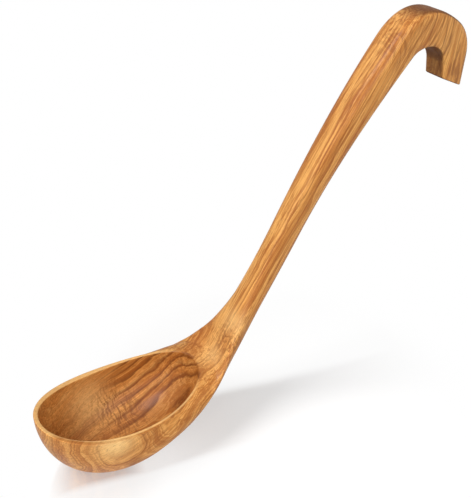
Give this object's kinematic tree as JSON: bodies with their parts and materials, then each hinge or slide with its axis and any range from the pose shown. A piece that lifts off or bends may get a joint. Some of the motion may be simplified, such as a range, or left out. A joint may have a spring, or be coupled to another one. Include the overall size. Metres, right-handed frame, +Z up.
{
  "type": "soup ladle",
  "caption": "Wooden soup ladle with a deep boat-shaped bowl, a slanting S-curved handle and a hook at its end for hanging on a pot rim or rail.",
  "frame": {"origin": "under the middle of the ladle, level with the bowl's underside", "axes": "+X from the front of the bowl towards the hook, +Y to the left when looking along +X, +Z up with the bowl's mouth level"},
  "size_m": [0.2458, 0.0546, 0.2136],
  "materials": {
    "wood": "oiled satin"
  },
  "bodies": {
    "root": {"ladle": "wood"}
  },
  "joints": []
}
